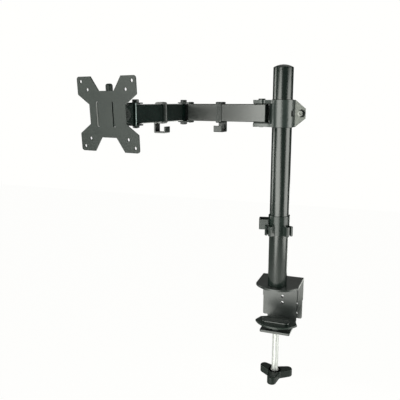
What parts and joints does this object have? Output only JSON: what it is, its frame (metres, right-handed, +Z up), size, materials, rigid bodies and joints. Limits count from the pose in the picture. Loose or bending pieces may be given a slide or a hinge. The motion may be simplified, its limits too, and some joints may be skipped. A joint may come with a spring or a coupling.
{
  "type": "monitor arm",
  "caption": "Desk-clamp monitor arm: round pole with height collar, folding tube links, swivel and tilt head and square screen plate.",
  "frame": {"origin": "on the pole's axis, at the plane of the desk top under the foam pad", "axes": "+Z up along the pole; the user sits on the -Y side; the clamp closes on the desk edge, which is on the +Y side"},
  "size_m": [0.3233, 0.2931, 0.5866],
  "materials": {
    "powder_coat": "fine textured black powder coat on steel",
    "cast_black": "black powder coat on cast aluminium",
    "black_plastic": "moulded black polymer with a fine grain",
    "zinc": "bright zinc plated steel",
    "black_oxide": "black oxide hardware",
    "foam": "closed-cell foam",
    "nylon": "nylon washer"
  },
  "bodies": {
    "base": {"top_bracket": "powder_coat", "jaw_bracket": "powder_coat", "jaw_bolts": "black_oxide", "jaw_nuts": "zinc", "desk_pad": "foam", "clamp_nut": "zinc", "pole": "powder_coat", "pole_foot": "black_oxide", "foot_bolt": "black_oxide", "pole_cap": "black_plastic"},
    "press": {"pressure_plate": "powder_coat", "pressure_pad": "foam"},
    "screw": {"clamp_screw": "zinc", "swivel_ring": "zinc", "clamp_knob": "black_plastic", "knob_insert": "zinc"},
    "liner": {"collar_liner": "black_plastic"},
    "collar_body": {"collar": "cast_black", "collar_bolt": "black_oxide", "collar_nut": "black_oxide", "shoulder_bolt": "black_oxide", "shoulder_washers": "nylon"},
    "rear_arm": {"rear_link": "powder_coat", "rear_bushing": "black_oxide", "rear_plugs": "black_plastic", "elbow_straps": "powder_coat", "elbow_bolt": "black_oxide", "elbow_nut": "black_oxide", "elbow_washers": "nylon"},
    "front_arm": {"front_link": "powder_coat", "front_bushings": "black_oxide", "front_plugs": "black_plastic"},
    "head": {"head_fork": "powder_coat", "head_bolt": "black_oxide", "head_nut": "black_oxide", "head_washers": "nylon", "tilt_bolt": "black_oxide", "tilt_nut": "black_oxide", "tilt_washers": "nylon"},
    "tilter": {"carrier": "powder_coat", "vesa_plate": "powder_coat"},
    "release_latch": {"release_pin": "black_oxide", "release_knob": "black_plastic"},
    "rear_hook": {"rear_clip": "black_plastic"},
    "front_hook": {"front_clip": "black_plastic"},
    "pole_hook": {"pole_clip": "black_plastic"}
  },
  "joints": [
    {"name": "clamp_travel", "type": "slide", "parent": "base", "child": "press", "axis": [0, 0, 1], "range_m": [0, 0.055]},
    {"name": "clamp_turn", "type": "hinge", "parent": "press", "child": "screw", "pos_m": [0, 0, -0.1], "axis": [0, 0, 1], "continuous": true},
    {"name": "collar_height", "type": "slide", "parent": "base", "child": "liner", "axis": [0, 0, 1], "range_m": [-0.14, 0.05]},
    {"name": "collar_swivel", "type": "hinge", "parent": "liner", "child": "collar_body", "pos_m": [0, 0, 0.322], "axis": [0, 0, 1], "range_deg": [-170, 170]},
    {"name": "shoulder", "type": "hinge", "parent": "collar_body", "child": "rear_arm", "pos_m": [-0.03534, -0.00687, 0.3225], "axis": [0, 0, 1], "range_deg": [-61, 119]},
    {"name": "elbow", "type": "hinge", "parent": "rear_arm", "child": "front_arm", "pos_m": [-0.19378, 0.0154, 0.3225], "axis": [0, 0, 1], "range_deg": [-201, 19]},
    {"name": "head_swivel", "type": "hinge", "parent": "front_arm", "child": "head", "pos_m": [-0.21328, -0.14341, 0.3225], "axis": [0, 0, 1], "range_deg": [-76.8, 83.2]},
    {"name": "head_tilt", "type": "hinge", "parent": "head", "child": "tilter", "pos_m": [-0.22036, -0.18278, 0.3225], "axis": [0.9842, -0.1771, 0], "range_deg": [-23.3, 16.7]},
    {"name": "release", "type": "slide", "parent": "tilter", "child": "release_latch", "axis": [-0.0102, -0.0567, 0.9983], "range_m": [0, 0.005], "stiffness_N_per_m": 200, "springref_m": -0.002},
    {"name": "rear_clip_slide", "type": "slide", "parent": "rear_arm", "child": "rear_hook", "axis": [-0.9903, 0.1392, 0], "range_m": [-0.02, 0.02]},
    {"name": "front_clip_slide", "type": "slide", "parent": "front_arm", "child": "front_hook", "axis": [-0.1219, -0.9925, 0], "range_m": [-0.02, 0.02]},
    {"name": "pole_clip_slide", "type": "slide", "parent": "base", "child": "pole_hook", "axis": [0, 0, 1], "range_m": [-0.07, 0.015]}
  ],
  "couplings": [
    {"joint": "clamp_turn", "follows": "clamp_travel", "rad_per_m": 3590.4}
  ]
}
